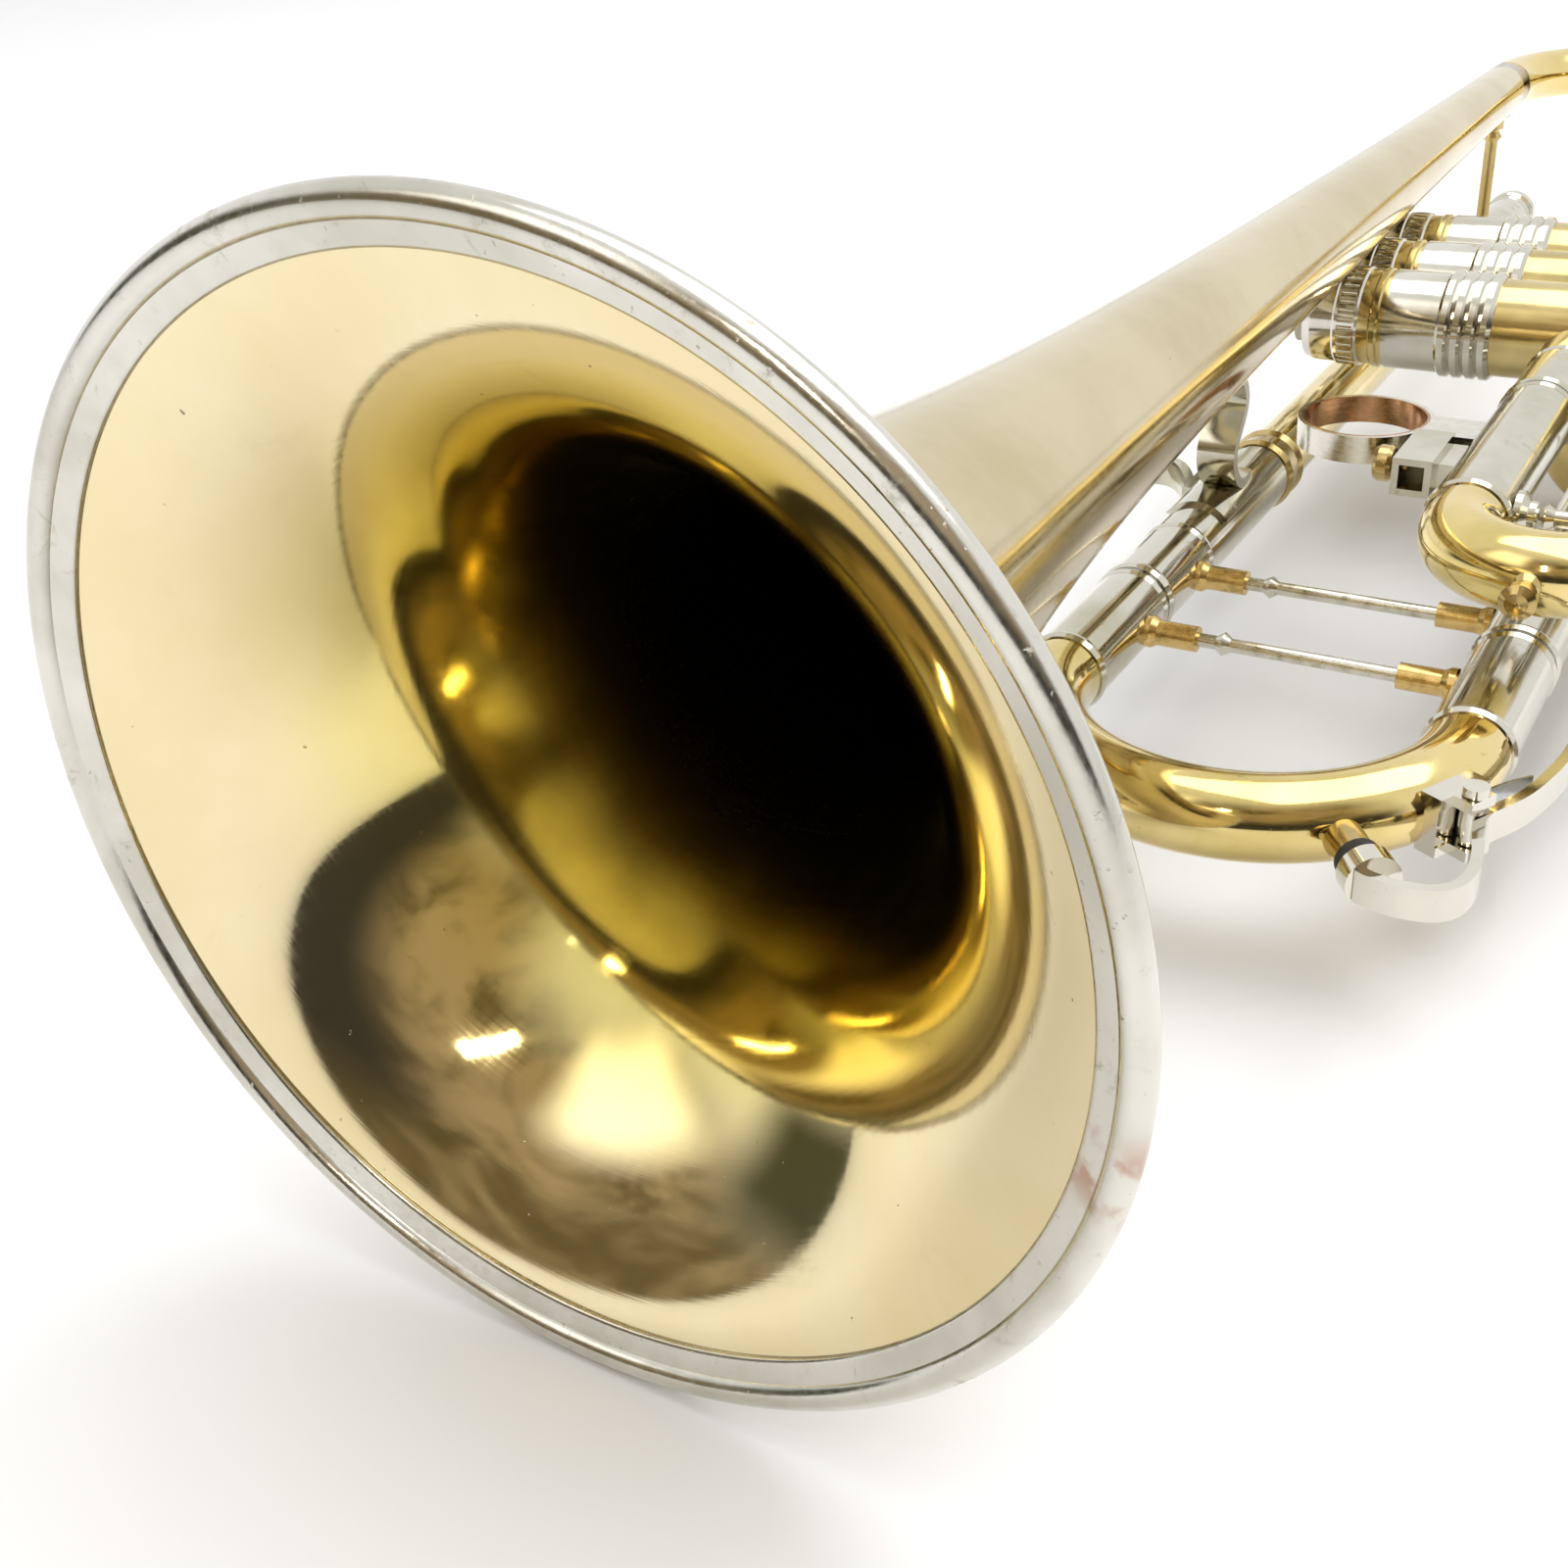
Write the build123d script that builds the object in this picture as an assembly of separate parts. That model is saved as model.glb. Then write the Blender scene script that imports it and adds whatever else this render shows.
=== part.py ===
from build123d import *
import math
import os

# A B-flat trumpet that lies on its right side. Millimetres.
# Origin: centre of the receiver's mouth. +X runs to the bell, +Y to the bottom caps, +Z up.

# Main frame
LENGTH = 440.0
BELL_Y, BELL_Z = 1.8, 40.0
RIM_RADIUS = 61.5
FLOOR_Z = BELL_Z - RIM_RADIUS

# Tubing
SLEEVE_OUT, SLEEVE_IN = 6.3, 5.8
LEG_OUT, LEG_IN = 5.75, 5.35
BOW_OUT, BOW_IN = 6.1, 5.35
COLLAR_OUT = 6.62
COLLAR_WIDTH = 2.0

# Bell
BELL_WALL = 0.7
FLARE, FLARE_POWER, RIM_SETBACK = 15.0, 0.665, 1.1
TAIL_START, TAIL_DRAW = 240.0, 0.0066
BEAD = 1.6
BAND_INNER, BAND_THICK = 56.7, 0.45
BELL_BOW_X = 38.4
BELL_TAIL = LENGTH - BELL_BOW_X
BELL_TUBE_OUT, BELL_TUBE_IN = 5.7, 5.02
BELL_FERRULE_X = 92.0

# Valves
VALVE_X, VALVE_PITCH, VALVE_Z = 180.9, 22.7, 21.4
VALVE_XS = [VALVE_X - VALVE_PITCH * i for i in range(3)]
PORT_Y = 60.0
CASING_OUT, CASING_IN = 9.1, 8.5
CASING_TOP, CASING_BOTTOM = 9.0, 100.0
BAND_TOP, BAND_BOTTOM = 13.8, 33.8
CAP_OUT, CAP_HEIGHT = 9.5, 11.5
STROKE = 16.5
PISTON_R, PISTON_WALL = 8.45, 0.8
PISTON_TOP, PISTON_BOTTOM = -0.3, 80.0
PASSAGE = 4.6
STEM_R, BUTTON_R, BUTTON_THICK = 2.2, 8.0, 3.6
FELT_THICK = 1.6
PEARL_R, PEARL_SEAT = 6.6, 0.5

# Main tuning slide
MAIN_BOW_X, MAIN_R = 308.9, 30.0
MAIN_JOINT_X = 280.4
MAIN_SLEEVE_END_X = 218.4
LOWER_ELBOW_X = 210.0
SLIDE_BRACE_X, OUTER_BRACE_X = 289.4, 265.9

# Third valve slide
THIRD_Z, THIRD_TOP_Y, THIRD_R = 18.5, 49.0, 13.0
THIRD_JOINT_X, THIRD_FERRULE_X, THIRD_BOW_X = 220.6, 271.9, 274.0
RING_X, RING_OUT, RING_IN, RING_WIDTH = 236.5, 11.2, 10.0, 4.6
RING_Y = THIRD_TOP_Y - 25.0
LYRE_Y, LYRE_SIZE, LYRE_END_X = THIRD_TOP_Y - 12.0, 6.2, 257.0

# First and second valve slides
FIRST_TOP_Y, FIRST_R, FIRST_JOINT_X, FIRST_BOW_X = 49.0, 13.0, 98.0, 90.0
SECOND_TOP_Y, SECOND_R, SECOND_JOINT_Z = 46.0, 11.0, 3.0
SECOND_BOW_Z = FLOOR_Z + BOW_OUT + SECOND_R

# Leadpipe and receiver
RECEIVER_LENGTH, RECEIVER_OUT, RECEIVER_BORE = 36.0, 5.8, 4.95
BORE_DEPTH = 25.0
PIPE_START_X, PIPE_START_OUT = 25.5, 5.4
PIPE_WALL = 0.6

# Water key
KEY_HINGE_ANGLE, KEY_HINGE_RHO = 62.0, 39.6
KEY_CORK_ANGLE = 36.5
NIPPLE_TOP_RHO, CORK_TOP_RHO = 40.6, 44.2
KEY_PIN_R = 0.9
KEY_HALF_WIDTH = 2.6


def rod(start, end, radius):
    """Round bar from one point to another."""
    span = Vector(*end) - Vector(*start)
    return extrude(Plane(origin=start, z_dir=span) * Circle(radius), amount=span.length)


def pipe(start, end, outer, inner):
    """Straight tube."""
    return rod(start, end, outer) - rod(start, end, inner)


def turned(origin, direction, outline):
    """Solid of revolution. The outline's corners are (distance along the axis, radius)."""
    corners = [(radius, along) for along, radius in outline]
    section = Plane.XZ * make_face(Polyline(*corners, close=True))
    return Plane(origin=origin, z_dir=direction).location * revolve(section, Axis.Z)


def bent_pipe(points, bend, outer, inner):
    """Tube along straight runs joined by arcs."""
    path = FilletPolyline(*points, radius=bend)
    start = Plane(origin=points[0], z_dir=Vector(*points[1]) - Vector(*points[0]))
    skin = sweep(start * Circle(outer), path=path)
    return skin - sweep(start * Circle(inner), path=path)


def u_bend(top, span_radius, forward, outer, inner):
    """Half-turn of tube that starts at top, runs towards +Y and bulges along forward."""
    centre = Vector(*top) + Vector(0, span_radius, 0)
    ring = Plane(origin=top, z_dir=forward) * (Circle(outer) - Circle(inner))
    spin = Vector(*forward).cross(Vector(0, 1, 0))
    return revolve(ring, Axis(centre, spin), 180)


def collar(centre, direction, inner):
    """Narrow raised ring round a tube."""
    half = COLLAR_WIDTH / 2
    outline = [(-half, inner), (half, inner), (half, COLLAR_OUT - 0.3), (0, COLLAR_OUT)]
    return turned(centre, direction, outline + [(-half, COLLAR_OUT - 0.3)])


def brace_post(start, end, thin, foot, socket):
    """Turned post: a foot and a socket at each end, a bead near the start and a thin rod."""
    length = (Vector(*end) - Vector(*start)).length
    wide = thin + 0.95
    outline = [(0, 0), (0, foot), (1.0, foot), (2.0, wide), (socket, wide), (socket, thin)]
    bead = socket * 1.5
    outline += [(bead - 1.2, thin), (bead, thin + 0.8), (bead + 1.2, thin)]
    outline += [(length - socket, thin), (length - socket, wide), (length - 2.0, wide)]
    outline += [(length - 1.0, foot), (length, foot), (length, 0)]
    return turned(start, Vector(*end) - Vector(*start), outline)


# ---------------------------------------------------------------- bell


def flare_radius(s):
    """Outer radius of the bell at the distance s behind the rim."""
    draw = TAIL_DRAW * max(0.0, s - TAIL_START)
    return RIM_RADIUS * (FLARE / (s - RIM_SETBACK + FLARE)) ** FLARE_POWER - draw


def flare_point(s, inward):
    """Point (distance, radius) of the bell's wall, moved inward along the normal."""
    slope = (flare_radius(s + 0.01) - flare_radius(s)) / 0.01
    size = math.hypot(1.0, slope)
    return s + inward * slope / size, flare_radius(s) - inward / size


BELL_EDGE = 1.7
STATIONS = 12
GROWTH = ((BELL_TAIL + FLARE) / (BELL_EDGE + FLARE)) ** (1.0 / STATIONS)
BELL_STATIONS = [(BELL_EDGE + FLARE) * GROWTH**i - FLARE for i in range(STATIONS + 1)]


def along_bell(outline_edges):
    """Turns edges drawn as (radius, distance behind the rim) round the bell's axis."""
    solid = revolve(Plane.XZ * make_face(outline_edges), Axis.Z)
    return Plane(origin=(LENGTH, BELL_Y, BELL_Z), z_dir=(-1, 0, 0)).location * solid


def wall_line(inward):
    return [(r, s) for s, r in (flare_point(s, inward) for s in BELL_STATIONS)]


def bell():
    outer, inner = wall_line(0.0), wall_line(BELL_WALL)
    rim = Line(outer[0], inner[0])
    tail = Line(outer[-1], inner[-1])
    return along_bell([Spline(*outer), Spline(*inner), rim, tail])


def bell_core():
    """Bell with its inside filled, for cutting what is fixed to its outside."""
    outer = wall_line(0.0)
    front, back = (0, outer[0][1]), (0, outer[-1][1])
    lines = [Line(outer[0], front), Line(front, back), Line(back, outer[-1])]
    return along_bell([Spline(*outer)] + lines)


def bell_rim():
    """Bead round the rim, with a flat band inside it."""
    centre = RIM_RADIUS - BEAD
    bead = revolve(Plane.XZ * (Pos(centre, BEAD) * Circle(BEAD)), Axis.Z)
    bead = Plane(origin=(LENGTH, BELL_Y, BELL_Z), z_dir=(-1, 0, 0)).location * bead
    inner_s = FLARE * ((RIM_RADIUS / BAND_INNER) ** (1 / FLARE_POWER) - 1) + RIM_SETBACK
    corners = [flare_point(BELL_EDGE, BELL_WALL), flare_point(inner_s, BELL_WALL)]
    corners += [flare_point(inner_s, BELL_WALL + BAND_THICK)]
    corners += [flare_point(BELL_EDGE, BELL_WALL + BAND_THICK)]
    band = along_bell(Polyline(*[(r, s) for s, r in corners], close=True))
    return bead + band - bell()


def bell_bow():
    """Rear bow of the bell and its lower leg, as far as the ferrule."""
    top = (BELL_BOW_X, BELL_Y, BELL_Z)
    bend = u_bend(top, (PORT_Y - BELL_Y) / 2, (-1, 0, 0), BELL_TUBE_OUT, BELL_TUBE_IN)
    start, end = (BELL_BOW_X, PORT_Y, BELL_Z), (BELL_FERRULE_X, PORT_Y, BELL_Z)
    return bend + pipe(start, end, BELL_TUBE_OUT, BELL_TUBE_IN)


def bell_ferrule():
    """Sleeve over the joint between the bell's lower leg and the first valve's elbow."""
    inner, outer = BELL_TUBE_OUT, BELL_TUBE_OUT + 0.7
    outline = [(-8, inner), (8, inner), (8, outer - 0.3), (6.8, outer + 0.3), (5.6, outer)]
    outline += [(-5.6, outer), (-6.8, outer + 0.3), (-8, outer - 0.3)]
    return turned((BELL_FERRULE_X, PORT_Y, BELL_Z), (1, 0, 0), outline)


def bell_elbow():
    """Tube from the ferrule into the first valve's side."""
    x = VALVE_XS[2]
    route = [(BELL_FERRULE_X, PORT_Y, BELL_Z), (x, PORT_Y, BELL_Z), (x, PORT_Y, VALVE_Z)]
    bend = BELL_Z - VALVE_Z - CASING_OUT - 0.3
    return bent_pipe(route, bend, BELL_TUBE_OUT, BELL_TUBE_IN) - casing_core(2)


# ---------------------------------------------------------------- leadpipe


def receiver():
    """Mouthpiece receiver: a bore for the mouthpiece, then a seat for the leadpipe."""
    outline = [(0, RECEIVER_BORE), (BORE_DEPTH, RECEIVER_BORE), (BORE_DEPTH, PIPE_START_OUT)]
    outline += [(RECEIVER_LENGTH, PIPE_START_OUT), (RECEIVER_LENGTH, RECEIVER_OUT - 0.2), (33, RECEIVER_OUT)]
    outline += [(8, RECEIVER_OUT), (7, RECEIVER_OUT + 0.4), (6, RECEIVER_OUT)]
    outline += [(4, RECEIVER_OUT), (3.4, RECEIVER_OUT + 0.5), (0.6, RECEIVER_OUT + 0.5)]
    return turned((0, 0, 0), (1, 0, 0), outline + [(0, RECEIVER_OUT + 0.2)])


def leadpipe():
    """Tapered pipe from the receiver to the upper outer sleeve."""
    bore = PIPE_START_OUT - PIPE_WALL
    end = SLEEVE_IN
    outline = [(PIPE_START_X, bore), (MAIN_SLEEVE_END_X + 6, end - PIPE_WALL)]
    outline += [(MAIN_SLEEVE_END_X + 6, end), (MAIN_SLEEVE_END_X - 20, end)]
    outline += [(RECEIVER_LENGTH, PIPE_START_OUT), (PIPE_START_X, PIPE_START_OUT)]
    return turned((0, 0, 0), (1, 0, 0), outline)


def leadpipe_ferrule():
    """Ferrule that joins the leadpipe to the upper sleeve."""
    x, inner = MAIN_SLEEVE_END_X, SLEEVE_IN
    outline = [(-9, inner), (0, inner), (0, 6.5), (-1.2, 7.0), (-2.4, 6.6), (-6, 6.4)]
    return turned((x, 0, 0), (1, 0, 0), outline + [(-7.5, 6.9), (-9, 6.3)])


# ---------------------------------------------------------------- main tuning slide


def sleeve(start, end, direction):
    """Outer sleeve with a collar at its mouth and one more behind the mouth."""
    mouth = Vector(*end) - Vector(*direction) * (COLLAR_WIDTH / 2 + 0.2)
    second = Vector(*end) - Vector(*direction) * 20.0
    body = pipe(start, end, SLEEVE_OUT, SLEEVE_IN)
    return body + collar(mouth, direction, SLEEVE_IN + 0.1) + collar(second, direction, SLEEVE_IN + 0.1)


def upper_sleeve():
    return sleeve((MAIN_SLEEVE_END_X, 0, 0), (MAIN_JOINT_X, 0, 0), (1, 0, 0))


def lower_sleeve():
    """Lower outer sleeve, which turns up into the side of the third valve."""
    y, x = 2 * MAIN_R, VALVE_XS[0]
    straight = sleeve((LOWER_ELBOW_X, y, 0), (MAIN_JOINT_X, y, 0), (1, 0, 0))
    route = [(LOWER_ELBOW_X, y, 0), (x, y, 0), (x, y, VALVE_Z)]
    elbow = bent_pipe(route, 11.0, SLEEVE_OUT, SLEEVE_IN)
    return straight + (elbow - casing_core(0))


def outer_slide_brace():
    gap = SLEEVE_OUT - 0.3
    post = brace_post((OUTER_BRACE_X, gap, 0), (OUTER_BRACE_X, 2 * MAIN_R - gap, 0), 1.1, 2.6, 8.4)
    for y in (0, 2 * MAIN_R):
        post -= rod((OUTER_BRACE_X - 9, y, 0), (OUTER_BRACE_X + 9, y, 0), SLEEVE_OUT)
    return post


def slide_ferrule(x_joint, x_bow, y, z, step):
    """Moving ferrule from the joint face to the bow, with a ring at each end."""
    away = (step, 0, 0)
    body = pipe((x_joint, y, z), (x_bow, y, z), SLEEVE_OUT, LEG_OUT)
    first = collar((x_joint + step * 1.2, y, z), away, LEG_OUT + 0.1)
    return body + first + collar((x_bow - step * 1.0, y, z), away, LEG_OUT + 0.1)


def main_slide_ferrule(y):
    return slide_ferrule(MAIN_JOINT_X + 0.3, MAIN_BOW_X, y, 0, 1)


def main_slide_leg(y):
    return pipe((MAIN_SLEEVE_END_X + 8, y, 0), (MAIN_BOW_X, y, 0), LEG_OUT, LEG_IN)


def main_slide_bow():
    bow = u_bend((MAIN_BOW_X, 0, 0), MAIN_R, (1, 0, 0), BOW_OUT, BOW_IN)
    drain = rod(bow_point(KEY_CORK_ANGLE, MAIN_R), bow_point(KEY_CORK_ANGLE, NIPPLE_TOP_RHO), 1.3)
    return bow - drain


def main_slide_brace():
    gap = SLEEVE_OUT - 0.3
    post = brace_post((SLIDE_BRACE_X, gap, 0), (SLIDE_BRACE_X, 2 * MAIN_R - gap, 0), 1.1, 2.6, 8.4)
    for y in (0, 2 * MAIN_R):
        post -= rod((SLIDE_BRACE_X - 8, y, 0), (SLIDE_BRACE_X + 8, y, 0), SLEEVE_OUT)
    return post


# ---------------------------------------------------------------- water key


def bow_point(angle, rho, z=0.0):
    """Point in the bow's plane at an angle from +X towards +Y and a distance from its centre."""
    turn = math.radians(angle)
    return MAIN_BOW_X + rho * math.cos(turn), MAIN_R + rho * math.sin(turn), z


def strip(points, thickness, low_z, high_z):
    """Bent plate that follows a smooth line in the bow's plane."""
    line = Spline(*[(x, y) for x, y, _ in points])
    count = 24
    left, right = [], []
    for i in range(count + 1):
        at, along = line @ (i / count), line % (i / count)
        side = Vector(-along.Y, along.X, 0) * (thickness / 2)
        left.append(tuple(at + side)[:2])
        right.append(tuple(at - side)[:2])
    ends = [Line(left[0], right[0]), Line(left[-1], right[-1])]
    face = make_face([Spline(*left), Spline(*right)] + ends)
    return extrude(Pos(0, 0, low_z) * face, amount=high_z - low_z)


def water_key_saddle():
    """Saddle on the bow with two ears for the pin."""
    hinge = bow_point(KEY_HINGE_ANGLE, KEY_HINGE_RHO)
    plane = Plane(origin=hinge, x_dir=Vector(*hinge) - Vector(*bow_point(0, 0)), z_dir=(0, 0, 1))
    base = plane.location * Pos(-3.2, 0, 0) * Box(3.4, 9.0, 2 * KEY_HALF_WIDTH + 3.6)
    ears = []
    for side in (-1, 1):
        z = side * (KEY_HALF_WIDTH + 1.0)
        ears.append(plane.location * Pos(-0.8, 0, z) * Box(4.6, 4.4, 1.6))
    saddle = base + ears - u_bend((MAIN_BOW_X, 0, 0), MAIN_R, (1, 0, 0), BOW_OUT, 0.01)
    slot = plane.location * Pos(1.3, 0, 0) * Box(6.0, 9.0, 2 * KEY_HALF_WIDTH + 0.4)
    ends = [hinge[:2] + (z,) for z in (-6, 6)]
    return saddle - slot - rod(ends[0], ends[1], KEY_PIN_R)


def water_key_nipple():
    """Short tube that stands on the bow under the cork."""
    base, top = bow_point(KEY_CORK_ANGLE, MAIN_R + 4.5), bow_point(KEY_CORK_ANGLE, NIPPLE_TOP_RHO)
    nipple = pipe(base, top, 2.7, 1.3)
    return nipple - u_bend((MAIN_BOW_X, 0, 0), MAIN_R, (1, 0, 0), BOW_OUT, 0.01)


def water_key_pin():
    hinge = bow_point(KEY_HINGE_ANGLE, KEY_HINGE_RHO)
    end = KEY_HALF_WIDTH + 1.8
    shaft = rod(hinge[:2] + (-end,), hinge[:2] + (end + 1.2,), KEY_PIN_R - 0.02)
    head = rod(hinge[:2] + (end + 0.1,), hinge[:2] + (end + 1.4,), 1.7)
    return shaft + head


def water_key_lever():
    """Bent lever: cork cup, high arch, hinge barrel and a finger touch beside the lower leg."""
    arch = [(KEY_CORK_ANGLE - 2.5, CORK_TOP_RHO + 2.2), (38.5, 50.6), (44.0, 52.6), (50.0, 49.8)]
    arch += [(56.0, 44.6), (KEY_HINGE_ANGLE, KEY_HINGE_RHO + 1.7), (70.0, 41.4), (80.0, 41.9)]
    touch_place = (MAIN_BOW_X - 9.0, 2 * MAIN_R + 12.8, 0)
    arm = [bow_point(angle, rho) for angle, rho in arch] + [touch_place]
    plate = strip(arm, 1.5, -KEY_HALF_WIDTH + 0.3, KEY_HALF_WIDTH - 0.3)
    hinge = bow_point(KEY_HINGE_ANGLE, KEY_HINGE_RHO)
    ends = [hinge[:2] + (z,) for z in (-KEY_HALF_WIDTH, KEY_HALF_WIDTH)]
    cup_base, cup_top = [bow_point(KEY_CORK_ANGLE, CORK_TOP_RHO + rise) for rise in (-1.0, 2.2)]
    cup = rod(cup_base, cup_top, 3.7) - water_key_cork()
    touch = Pos(*touch_place) * Cylinder(4.2, 1.5, rotation=(90, 0, 0))
    return plate + rod(ends[0], ends[1], 1.4) + cup + touch - rod(ends[0], ends[1], KEY_PIN_R + 0.03)


def water_key_cork():
    base = bow_point(KEY_CORK_ANGLE, NIPPLE_TOP_RHO + 0.05)
    return rod(base, bow_point(KEY_CORK_ANGLE, CORK_TOP_RHO), 3.0)


def water_key_spring():
    """Leaf spring between the bow and the lever's tail."""
    line = [bow_point(71, 36.7), bow_point(77, 37.6), bow_point(83, 39.9)]
    return strip(line, 0.35, -1.2, 1.2)


# ---------------------------------------------------------------- valves


def casing_core(i):
    """Casing with its inside filled, for cutting the tubes that join it."""
    x = VALVE_XS[i]
    return rod((x, CASING_TOP, VALVE_Z), (x, CASING_BOTTOM, VALVE_Z), CASING_OUT)


def valve_ports(i):
    """Port directions and heights: inlet, outlet, way to the slide and way back."""
    slide_y = (THIRD_TOP_Y, SECOND_TOP_Y, FIRST_TOP_Y)[i]
    slide_span = 2 * (THIRD_R, SECOND_R, FIRST_R)[i]
    inlet = (Vector(0, 0, -1), Vector(1, 0, 0), Vector(1, 0, 0))[i]
    outlet = (Vector(-1, 0, 0), Vector(-1, 0, 0), Vector(0, 0, 1))[i]
    slide = (Vector(1, 0, 0), Vector(0, 0, -1), Vector(-1, 0, 0))[i]
    offset = Vector(0, 0, THIRD_Z - VALVE_Z) if i == 0 else Vector(0, 0, 0)
    ports = [(inlet, PORT_Y, Vector()), (outlet, PORT_Y, Vector())]
    return ports + [(slide, slide_y, offset), (slide, slide_y + slide_span, offset)]


def casing(i):
    x = VALVE_XS[i]
    body = pipe((x, CASING_TOP, VALVE_Z), (x, CASING_BOTTOM, VALVE_Z), CASING_OUT, CASING_IN)
    for direction, y, offset in valve_ports(i):
        start = Vector(x, y, VALVE_Z) + offset
        body -= rod(start, start + direction * 12, PASSAGE)
    for y in (CASING_TOP + 3.0, CASING_BOTTOM - 2.0, CASING_BOTTOM - 12.0):
        ring = [(-0.9, CASING_OUT), (0.9, CASING_OUT), (0.5, CASING_OUT + 0.35)]
        body += turned((x, y, VALVE_Z), (0, 1, 0), ring + [(-0.5, CASING_OUT + 0.35)])
    return body


def casing_band(i):
    """Nickel band round the casing: a smooth half, then a row of beads."""
    length, out = BAND_BOTTOM - BAND_TOP, CASING_OUT + 0.3
    outline = [(0, CASING_OUT), (0, out), (length / 2, out)]
    beads = 4
    pitch = length / 2 / beads
    for k in range(beads):
        at = length / 2 + pitch * k
        outline += [(at + pitch * 0.25, out + 0.65), (at + pitch * 0.7, out + 0.65)]
        outline += [(at + pitch, out)]
    outline += [(length, CASING_OUT)]
    return turned((VALVE_XS[i], BAND_TOP, VALVE_Z), (0, 1, 0), outline)


def knurled(solid, x, start_y, end_y):
    """Cuts fine grooves round a cap."""
    grooves = 36
    for k in range(grooves):
        turn = 2 * math.pi * k / grooves
        gx = x + (CAP_OUT + 0.25) * math.cos(turn)
        gz = VALVE_Z + (CAP_OUT + 0.25) * math.sin(turn)
        solid -= rod((gx, start_y, gz), (gx, end_y, gz), 0.6)
    return solid


def top_cap(i):
    """Top cap: shallow dome, smooth neck, knurled skirt and a hole for the stem."""
    x, top = VALVE_XS[i], CASING_TOP - CAP_HEIGHT
    hole, skirt = STEM_R + 0.1, CAP_HEIGHT - 4.4
    outline = [(0, hole), (0, 6.0), (0.8, 8.6), (2.4, CAP_OUT - 0.4), (skirt - 0.5, CAP_OUT - 0.4)]
    outline += [(skirt, CAP_OUT), (CAP_HEIGHT - 0.4, CAP_OUT), (CAP_HEIGHT, CASING_OUT)]
    outline += [(CAP_HEIGHT, CASING_IN), (2.0, CASING_IN), (2.0, hole)]
    cap = turned((x, top, VALVE_Z), (0, 1, 0), outline)
    return knurled(cap, x, top + skirt + 0.6, CASING_TOP - 0.8)


def bottom_cap(i):
    """Bottom cap: knurled rim, shallow dish and a central nipple with a vent."""
    x = VALVE_XS[i]
    outline = [(0, CASING_IN), (0, CASING_OUT), (0.4, CAP_OUT), (4.6, CAP_OUT), (5.4, 9.0)]
    outline += [(6.0, 6.2), (6.6, 3.4), (8.2, 3.0), (8.6, 2.2), (8.6, 1.2), (3.2, 1.2)]
    outline += [(3.2, CASING_IN)]
    cap = turned((x, CASING_BOTTOM, VALVE_Z), (0, 1, 0), outline)
    return knurled(cap, x, CASING_BOTTOM + 0.8, CASING_BOTTOM + 4.4)


def piston(i):
    """Hollow piston with three passages. Pressed, the upper two line up with the ports."""
    x = VALVE_XS[i]
    top, bottom = (x, PISTON_TOP, VALVE_Z), (x, PISTON_BOTTOM, VALVE_Z)
    body = rod(top, bottom, PISTON_R)
    hollow_top, hollow_end = (x, PISTON_TOP + 3, VALVE_Z), (x, PISTON_BOTTOM - 1.5, VALVE_Z)
    shell = body - rod(hollow_top, hollow_end, PISTON_R - PISTON_WALL)
    inlet, outlet, out_port, back_port = valve_ports(i)
    lifted = Vector(0, -STROKE, 0)
    pairs = [(inlet, outlet, Vector()), (inlet, out_port, lifted), (back_port, outlet, lifted)]
    bores = []
    for one, other, lift in pairs:
        ends = []
        for direction, y, offset in (one, other):
            ends.append(Vector(x, y, VALVE_Z) + offset + lift + direction * (PISTON_R + 2))
        if ends[0].X == ends[1].X or ends[0].Z == ends[1].Z:
            bores.append([ends])
        else:
            middle = Vector(x, (ends[0].Y + ends[1].Y) / 2, VALVE_Z)
            bores.append([(ends[0], middle), (middle, ends[1])])
    for runs in bores:
        for start, end in runs:
            shell += rod(start, end, PASSAGE + 0.6) & body
    for runs in bores:
        for start, end in runs:
            shell -= rod(start, end, PASSAGE)
    return shell - rod(top, bottom, STEM_R)


def stem(i):
    """Valve stem with its finger button. The button's face holds the pearl."""
    x = VALVE_XS[i]
    face = button_face()
    outline = [(PEARL_SEAT, 0), (PEARL_SEAT, PEARL_R), (0, PEARL_R), (0, BUTTON_R - 0.6)]
    outline += [(0.6, BUTTON_R)]
    outline += [(2.2, BUTTON_R), (BUTTON_THICK, 4.2), (BUTTON_THICK + 1.4, STEM_R + 0.6)]
    outline += [(BUTTON_THICK + 2.4, STEM_R), (PISTON_TOP + 3.0 - face, STEM_R)]
    outline += [(PISTON_TOP + 3.0 - face, 0)]
    return turned((x, face, VALVE_Z), (0, 1, 0), outline)


def button_face():
    """Height of the button's outer face with the valve up."""
    return CASING_TOP - CAP_HEIGHT - FELT_THICK - STROKE - BUTTON_THICK - 1.6


def pearl(i):
    """Domed inlay in the button."""
    x, face = VALVE_XS[i], button_face()
    edge = PEARL_R - 0.05
    outline = [(PEARL_SEAT, 0), (PEARL_SEAT, edge), (0, edge), (-0.5, 5.0), (-0.8, 2.6), (-0.9, 0)]
    return turned((x, face, VALVE_Z), (0, 1, 0), outline)


def felt(i):
    """Felt ring on the top cap, under the button."""
    x, top = VALVE_XS[i], CASING_TOP - CAP_HEIGHT - FELT_THICK
    return pipe((x, top, VALVE_Z), (x, top + FELT_THICK, VALVE_Z), 5.8, STEM_R + 0.95)


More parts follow.
